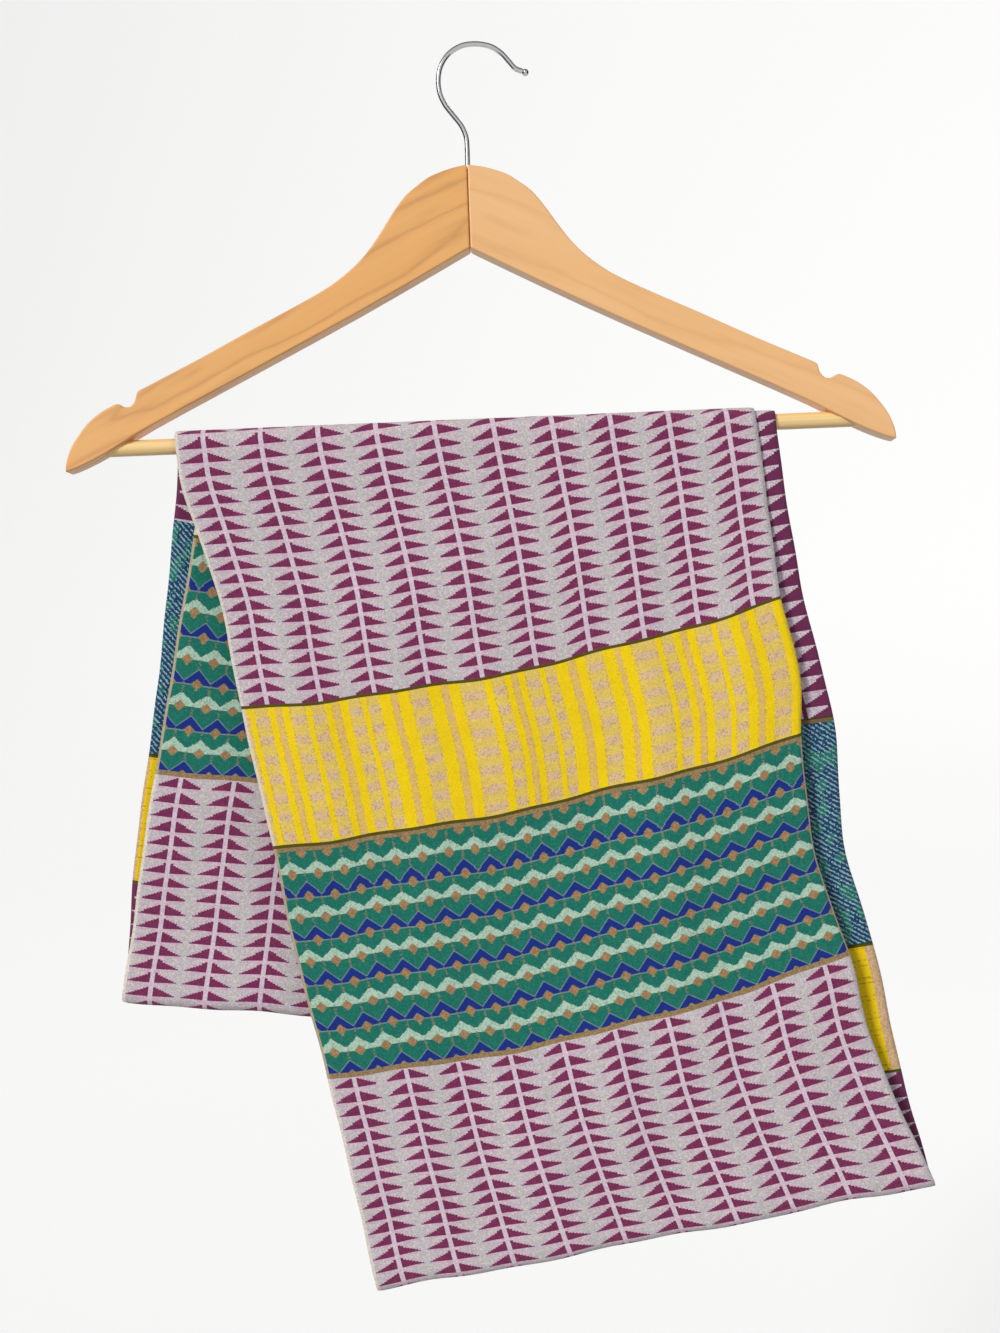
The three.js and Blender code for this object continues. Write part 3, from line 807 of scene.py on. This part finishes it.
def zigzag_right():
    k = Knit("knit_zigzag_right")
    half = PEAK_PITCH / 2
    mint_side = k.size(k.minus(k.repeat(k.x, PEAK_PITCH), half))
    blue_side = k.minus(half, mint_side)
    mint_edge = k.plus(MINT_BASE - MINT_HEIGHT, k.times(mint_side, MINT_SLOPE))
    blue_edge = k.plus(BLUE_BASE - BLUE_HEIGHT, k.times(blue_side, BLUE_SLOPE))
    mint_down = k.repeat(k.minus(k.y, mint_edge), ROW_PITCH)
    blue_down = k.minus(mint_down, k.minus(blue_edge, mint_edge))
    is_blue = k.above(blue_down, 0.0)
    is_mint = k.without(is_blue)
    side = k.plus(k.times(is_blue, blue_side), k.times(is_mint, mint_side))
    below_mint = k.minus(k.plus(mint_down, k.times(mint_side, MINT_SLOPE)), MINT_HEIGHT)
    below_blue = k.minus(k.plus(blue_down, k.times(blue_side, BLUE_SLOPE)), BLUE_HEIGHT)
    below_base = k.plus(k.times(is_blue, below_blue), k.times(is_mint, below_mint))
    started = k.above(k.y, FIRST_PEAK)
    solid = k.both(k.below(below_base, 0.0), started)
    spot = k.plus(side, k.size(below_base))
    brown = k.below(spot, DIAMOND_HALF)
    brown_rim = k.both(brown, k.above(spot, DIAMOND_HALF - DIAMOND_RIM))
    rim = k.both(is_blue, k.below(blue_down, OUTLINE_WIDTH), k.below(side, half - 0.3), solid)
    foot = k.both(is_blue, started, k.without(solid), k.below(below_base, ROW))
    stalk = k.both(k.above(side, half - 0.4), k.above(below_base, -0.9))
    stalk = k.both(stalk, k.above(k.speck, 0.35))
    teal = k.mix(k.times(k.above(k.speck, 0.8), 0.6), TEAL, MOSS)
    pale = k.mix(k.times(k.below(k.speck, 0.25), 0.5), MINT, srgb("8FBFA6"))
    colour = k.mix(k.both(solid, is_mint), teal, pale)
    colour = k.mix(k.both(solid, is_blue), colour, BLUE)
    colour = k.mix(k.times(k.either(rim, foot), 0.75), colour, OUTLINE)
    colour = k.mix(k.times(stalk, 0.65), colour, DASH)
    brown_mix = k.mix(k.times(k.above(k.speck, 0.6), 0.6), BROWN, BROWN_LIGHT)
    brown_mix = k.mix(k.times(brown_rim, 0.45), brown_mix, srgb("949060"))
    colour = k.mix(brown, colour, brown_mix)
    tan = k.either(
        k.below(k.y, FIRST_TAN),
        k.above(k.y, BAND_LENGTH["zigzag"] - LAST_TAN),
    )
    colour = k.mix(tan, colour, k.mix(k.speck, BAND_TAN, srgb("A58A62")))
    edge = k.either(k.below(k.x, RIM), k.above(k.x, WIDTH - 0.8))
    colour = k.mix(edge, colour, srgb("B9AA90"))
    seam = k.below(k.fine_y, 0.4)
    return k.finish(k.mix(seam, colour, OLIVE), contrast=0.3)


def zigzag_wrong():
    k = Knit("knit_zigzag_wrong")
    slant = k.plus(k.times(k.fine_x, FLOAT_SLANT[0]), k.times(k.fine_y, FLOAT_SLANT[1]))
    breaks = k.noise(k.place, 0.55, 1.0)
    wave = k.repeat(k.plus(k.times(slant, 1 / FLOAT_PITCH), k.times(breaks, 0.6)), 1.0)
    dash = k.both(k.below(wave, 0.4), k.above(k.speck, 0.25))
    patch = k.noise(k.vector(k.times(k.x, 0.5), k.times(k.y, 0.3)), 0.28, 2.0)
    green = k.above(patch, 0.55)
    dark = k.mix(k.times(green, 0.8), NAVY, SEA)
    light = k.mix(k.times(green, 0.6), AQUA, srgb("79B79C"))
    pale = k.mix(k.above(k.speck, 0.86), light, srgb("BCD0D6"))
    colour = k.mix(k.times(dash, 0.8), dark, pale)
    tan = k.above(k.y, BAND_LENGTH["zigzag"] - LAST_TAN)
    colour = k.mix(tan, colour, srgb("80633F"))
    line = k.either(k.below(k.fine_y, 1.0), k.above(k.fine_y, BAND_LENGTH["zigzag"] - 0.8))
    return k.finish(k.mix(line, colour, srgb("3B4410")), contrast=0.22)


def plain_knit(name, colour):
    k = Knit(name)
    node = k.mix(k.times(k.speck, 0.5), colour, srgb("D6C4AC"))
    return k.finish(node, contrast=0.15)


def wood(name, colours, turn, start, ring_scale, streak_share):
    """Lacquered wood, its grain along the X axis turned by an angle about Y.

    colours are those of the light wood, the deep wood and the dark streaks.
    """
    light, deep, streak = (srgb(text) for text in colours)
    k = Look(name)
    where = k.add("ShaderNodeTexCoord")
    mapping = k.add("ShaderNodeMapping")
    mapping.inputs["Location"].default_value = start
    mapping.inputs["Rotation"].default_value = (0.0, turn, 0.0)
    k.join(where.outputs["Object"], mapping.inputs["Vector"])
    x, y, z = k.split(mapping.outputs[0])
    stretched = k.vector(k.times(x, 9.0), k.times(y, 60.0), k.times(z, 60.0))
    drift = k.noise(stretched, 1.0, 3.0)
    fine = k.noise(k.vector(k.times(x, 30.0), k.times(y, 900.0), k.times(z, 900.0)), 1.0, 3.0)
    rings = k.plus(k.times(z, ring_scale), k.times(drift, 3.2))
    band = k.math("POWER", k.size(k.minus(k.repeat(rings, 1.0), 0.5)), 2.6)
    colour = k.mix(k.plus(k.times(drift, 0.55), k.times(fine, 0.3)), light, deep)
    colour = k.mix(k.times(band, streak_share), colour, streak)
    k.join(colour, k.shader.inputs["Base Color"])
    k.bump(k.plus(fine, k.times(band, -0.4)), 0.00008, 0.35)
    k.shader.inputs["Roughness"].default_value = 0.42
    k.shader.inputs["Coat Weight"].default_value = 0.15
    k.shader.inputs["Coat Roughness"].default_value = 0.25
    return k.material


def chrome():
    k = Look("hook_chrome_polished")
    where = k.add("ShaderNodeTexCoord")
    # Fine noise makes the chrome lighter and rougher in spots.
    mottle = k.noise(where.outputs["Object"], 900.0, 3.0)
    tone = k.mix(mottle, (0.42, 0.42, 0.43, 1.0), (0.6, 0.6, 0.61, 1.0))
    k.join(tone, k.shader.inputs["Base Color"])
    k.join(k.plus(0.14, k.times(mottle, 0.1)), k.shader.inputs["Roughness"])
    k.shader.inputs["Metallic"].default_value = 1.0
    return k.material


KNIT = {
    ("triangles", "right"): triangles_right(),
    ("triangles", "wrong"): triangles_wrong(),
    ("stripes", "right"): stripes_right(),
    ("stripes", "wrong"): stripes_wrong(),
    ("zigzag", "right"): zigzag_right(),
    ("zigzag", "wrong"): zigzag_wrong(),
}
SELVEDGE = plain_knit("knit_selvedge", CREAM)
SEAM_END = plain_knit("knit_seam_end", OLIVE)
ARM_TURN = math.radians(26)
ARM_WOOD = {
    -1: wood("hanger_wood_left", ("F6BA70", "E59F4E", "AE6B2E"), ARM_TURN, (0, 0, 0), 75, 2.4),
    1: wood("hanger_wood_right", ("FBC98E", "F0B06C", "CC8A4C"), -ARM_TURN, (0, 0, 0.3), 60, 1.4),
}
BAR_WOOD = wood("bar_wood_plain", ("FFE2A2", "FBC87C", "D29A54"), 0, (0, 0, 0), 420, 1.4)
CHROME = chrome()

# Hanger outline by the distance out from the middle: top edge, strap notch, shoulder, underside.
ARM_TOP = (
    (0, -65), (8, -66.5), (14.5, -68.4), (21, -71), (27.5, -75.4), (34, -80.6), (40.5, -88.8),
    (47, -98.4), (53.5, -107.4), (60, -114.5), (68, -121.3), (78, -128), (95, -136.8),
    (121, -149.4), (147.5, -162.6), (174, -175.1), (181.2, -178.6),
)
STRAP_NOTCH = ((182.4, -180.6), (183.4, -184), (185.8, -186.6), (188.8, -187), (191.4, -185.6))
ARM_SHOULDER = (
    (193.6, -185.2), (197.5, -186.8), (203, -189.8), (209.5, -195), (214.8, -201.4),
    (219, -208), (221.6, -215), (222.4, -220.8),
)
ARM_UNDERSIDE = (
    (222.4, -220.8), (215.5, -218.6), (201.5, -212.2), (175, -197.6), (122, -171.6), (60, -141),
    (0, -109.6),
)
HOOK_LINE = (
    (-7.1, -92), (-7.1, -64.6), (-7, -55), (-7.4, -48.4), (-9.7, -42.3), (-13.5, -37),
    (-18.1, -30.6), (-20.7, -24), (-21.2, -16.6), (-19.4, -9.2), (-14.8, -3), (-7.9, 0.8),
    (0, 1.4), (7.6, -0.4), (13.3, -4.4), (17.2, -9), (20.4, -12.8), (24.2, -14.6),
)
WIRE_RADIUS = 1.4
WIRE_SIDES = 20
NECK_RADIUS = 1.0
BALL_RADIUS = 1.9
BALL_RINGS = 12


def smooth_line(points, steps):
    """Points along a Catmull-Rom curve through the given ones."""
    p = np.array(points, float)
    p = np.concatenate([[2 * p[0] - p[1]], p, [2 * p[-1] - p[-2]]])
    line = []
    for i in range(1, len(p) - 2):
        for k in range(steps):
            s = k / steps
            a, b, c, d = p[i - 1:i + 3]
            bend = 2 * a - 5 * b + 4 * c - d
            twist = 3 * b - a - 3 * c + d
            line.append(0.5 * (2 * b + (c - a) * s + bend * s * s + twist * s ** 3))
    line.append(p[-2])
    return np.array(line)


def make_arm(side):
    """One arm: its outline extruded, then its edges rounded."""
    top = smooth_line(ARM_TOP + STRAP_NOTCH + ARM_SHOULDER, 4)
    under = smooth_line(ARM_UNDERSIDE, 3)[1:]
    outline = np.concatenate([top, under])
    outline[:, 0] = np.maximum(outline[:, 0], PART_GAP / 2)
    if side < 0:
        outline = outline[::-1]
    x = HANGER_X + side * outline[:, 0]
    count = len(outline)
    depth = ARM_THICKNESS / 2
    points = [(px, y, pz) for y in (-depth, depth) for px, pz in zip(x, outline[:, 1])]
    faces = [list(range(count))[::-1], list(range(count, 2 * count))]
    for i in range(count):
        j = (i + 1) % count
        faces.append([i, j, j + count, i + count])
    name = "arm_left_shaped" if side < 0 else "arm_right_shaped"
    piece = new_object(name, np.array(points) * MM, faces)
    bevel = piece.modifiers.new("edges", "BEVEL")
    bevel.width = ARM_EDGE_ROUND * MM
    bevel.segments = 4
    bevel.limit_method = "ANGLE"
    bevel.angle_limit = math.radians(50)
    bevel.harden_normals = True
    piece.data.materials.append(ARM_WOOD[side])
    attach(piece, "root")
    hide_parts("hanger_arm_left" if side < 0 else "hanger_arm_right")


def tube(line, radius, sides):
    """Closed tube along a line in the XZ plane. radius may vary along it."""
    line = np.array(line, float)
    radius = np.broadcast_to(radius, len(line))
    along = np.gradient(line, axis=0)
    along /= np.linalg.norm(along, axis=1, keepdims=True)
    angle = np.linspace(0, 2 * math.pi, sides, endpoint=False)
    points = []
    for (x, z), (dx, dz), r in zip(line, along, radius):
        for a in angle:
            points.append((x - dz * r * math.cos(a), r * math.sin(a), z + dx * r * math.cos(a)))
    faces = []
    for i in range(len(line) - 1):
        for j in range(sides):
            k = (j + 1) % sides
            faces.append([i * sides + j, i * sides + k, (i + 1) * sides + k, (i + 1) * sides + j])
    end = (len(line) - 1) * sides
    faces.append(list(range(sides))[::-1])
    faces.append(list(range(end, end + sides)))
    return points, faces


def make_hook():
    """The bent wire, with the small ball on its tip."""
    line = smooth_line(HOOK_LINE, 10)
    tip = line[-1]
    heading = (line[-1] - line[-3]) / np.linalg.norm(line[-1] - line[-3])
    radius = [WIRE_RADIUS] * len(line)
    radius[-1] = NECK_RADIUS
    ball = []
    for k in range(1, BALL_RINGS + 1):
        turn = math.pi * (0.18 + 0.8 * k / BALL_RINGS)
        ball.append(tip + heading * (BALL_RADIUS * (0.85 - math.cos(turn))))
        radius.append(max(BALL_RADIUS * math.sin(turn), 0.12))
    points, faces = tube(np.concatenate([line, ball]), radius, WIRE_SIDES)
    piece = new_object("hook_wire", np.array(points) * MM, faces)
    piece.data.materials.append(CHROME)
    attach(piece, "root")
    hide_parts("hook")


def make_bar():
    reach = BAR_HALF_LENGTH
    inside = reach - BAR_CHAMFER
    places = np.concatenate([[-reach], np.linspace(-inside, inside, BAR_RINGS), [reach]])
    line = [(HANGER_X + place, BAR_Z) for place in places]
    radius = np.full(len(line), BAR_RADIUS)
    radius[[0, -1]] -= BAR_CHAMFER
    points, faces = tube(line, radius, BAR_SIDES)
    piece = new_object("bar_round", np.array(points) * MM, faces)
    piece.data.materials.append(BAR_WOOD)
    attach(piece, "root")
    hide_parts("trouser_bar")


# Stage and light, in metres. The floor's profile is given by radius and height.
FLOOR_PROFILE = (
    (1.5, 0.0), (2.3, 0.05), (3.0, 0.25), (3.6, 0.7), (3.95, 1.4), (4.15, 2.5), (4.2, 4.0),
)
FLOOR_SIDES = 96
FLOOR_Z = -1.05
FLOOR_TONES = ((0.4, 0.4, 0.4, 1.0), (0.405, 0.405, 0.405, 1.0))
FLOOR_GLOW = 0.56
CARD_X = 1.5
CARD_CORNERS = ((-1.4, -1.0), (0.7, -1.0), (0.7, 1.1), (-1.4, 1.1))
WORLD_STRENGTH = 0.31
# Suns: name, way they lie, strength, softness in degrees, colour.
SUNS = (
    ("key", (-1.0, -1.25, 0.8), 2.25, 14.0, (1.0, 0.985, 0.96)),
    ("fill", (1.2, -1.2, 0.3), 0.32, 40.0, (0.97, 0.985, 1.0)),
    ("back_fill", (0.6, 1.4, 0.5), 1.7, 40.0, WHITE),
)


def make_stage():
    """Pale floor that turns up softly into a wall far all round the object."""
    rings = smooth_line(FLOOR_PROFILE, 6)
    points = [(0.0, 0.0, FLOOR_Z)]
    for r, h in rings:
        for k in range(FLOOR_SIDES):
            a = 2 * math.pi * k / FLOOR_SIDES
            points.append((r * math.cos(a), r * math.sin(a), FLOOR_Z + h))
    faces = [[0, 1 + k, 1 + (k + 1) % FLOOR_SIDES] for k in range(FLOOR_SIDES)]
    for i in range(len(rings) - 1):
        for k in range(FLOOR_SIDES):
            n = (k + 1) % FLOOR_SIDES
            a, b = 1 + i * FLOOR_SIDES, 1 + (i + 1) * FLOOR_SIDES
            faces.append([a + k, b + k, b + n, a + n])
    floor = new_object("floor", points, faces)
    look = Look("floor_pale")
    where = look.add("ShaderNodeTexCoord")
    grain = look.noise(where.outputs["Object"], 40.0, 2.0)
    tone = look.mix(grain, *FLOOR_TONES)
    look.join(tone, look.shader.inputs["Base Color"])
    look.shader.inputs["Emission Color"].default_value = (*WHITE, 1.0)
    look.shader.inputs["Emission Strength"].default_value = FLOOR_GLOW
    look.shader.inputs["Roughness"].default_value = 0.9
    floor.data.materials.append(look.material)
    floor.visible_shadow = False
    floor.visible_diffuse = False


def make_card(name, x):
    """Dark card beside the object, seen only as a reflection in the hook."""
    card = new_object(name, [(x, y, z) for y, z in CARD_CORNERS], [[0, 1, 2, 3]])
    look = Look(name)
    look.shader.inputs["Base Color"].default_value = (0.02, 0.02, 0.022, 1.0)
    look.shader.inputs["Roughness"].default_value = 0.9
    card.data.materials.append(look.material)
    card.visible_camera = False
    card.visible_diffuse = False
    card.visible_shadow = False


# Camera: the photograph's image is 1000 x 1333, 0.538 mm a pixel at the plane of the hanger.
CAMERA_DISTANCE = 780.0
CAMERA_AIM = Vector((0.4, 0.0, -333.8))
CAMERA_RANGE = (0.01, 50.0)
CAMERA_YAW = math.radians(1.6)
CAMERA_ROLL = math.radians(2.1)
PIXEL = 0.538
IMAGE_HEIGHT = 1333
SENSOR = 36.0


def make_camera():
    data = bpy.data.cameras.new("camera")
    data.sensor_width = SENSOR
    data.lens = CAMERA_DISTANCE / (PIXEL * IMAGE_HEIGHT) * SENSOR
    data.clip_start, data.clip_end = CAMERA_RANGE
    camera = bpy.data.objects.new("camera", data)
    back = Vector((math.sin(CAMERA_YAW), -math.cos(CAMERA_YAW), 0.0))
    upright = Vector((math.sin(CAMERA_ROLL), 0.0, math.cos(CAMERA_ROLL)))
    right = upright.cross(back).normalized()
    up = back.cross(right).normalized()
    axes = Matrix((right, up, back)).transposed().to_4x4()
    axes.translation = (CAMERA_AIM + back * CAMERA_DISTANCE) * MM
    camera.matrix_world = axes
    bpy.context.scene.collection.objects.link(camera)
    bpy.context.scene.camera = camera


def make_world():
    world = bpy.data.worlds.new("studio")
    world.use_nodes = True
    background = world.node_tree.nodes["Background"]
    background.inputs["Color"].default_value = (*WHITE, 1.0)
    background.inputs["Strength"].default_value = WORLD_STRENGTH
    bpy.context.scene.world = world


def add_sun(name, place, strength, angle, colour):
    data = bpy.data.lights.new(name, "SUN")
    data.energy = strength
    data.angle = math.radians(angle)
    data.color = colour
    light = bpy.data.objects.new(name, data)
    light.rotation_mode = "QUATERNION"
    light.rotation_quaternion = (-Vector(place)).to_track_quat("-Z", "Y")
    bpy.context.scene.collection.objects.link(light)


make_camera()
made = [make_band(index) for index in range(len(BANDS))]
make_arm(-1)
make_arm(1)
make_bar()
make_hook()
make_stage()
make_card("card_left", -CARD_X)
make_card("card_right", CARD_X)
make_world()
for sun in SUNS:
    add_sun(*sun)
bpy.context.scene.view_settings.view_transform = "Standard"
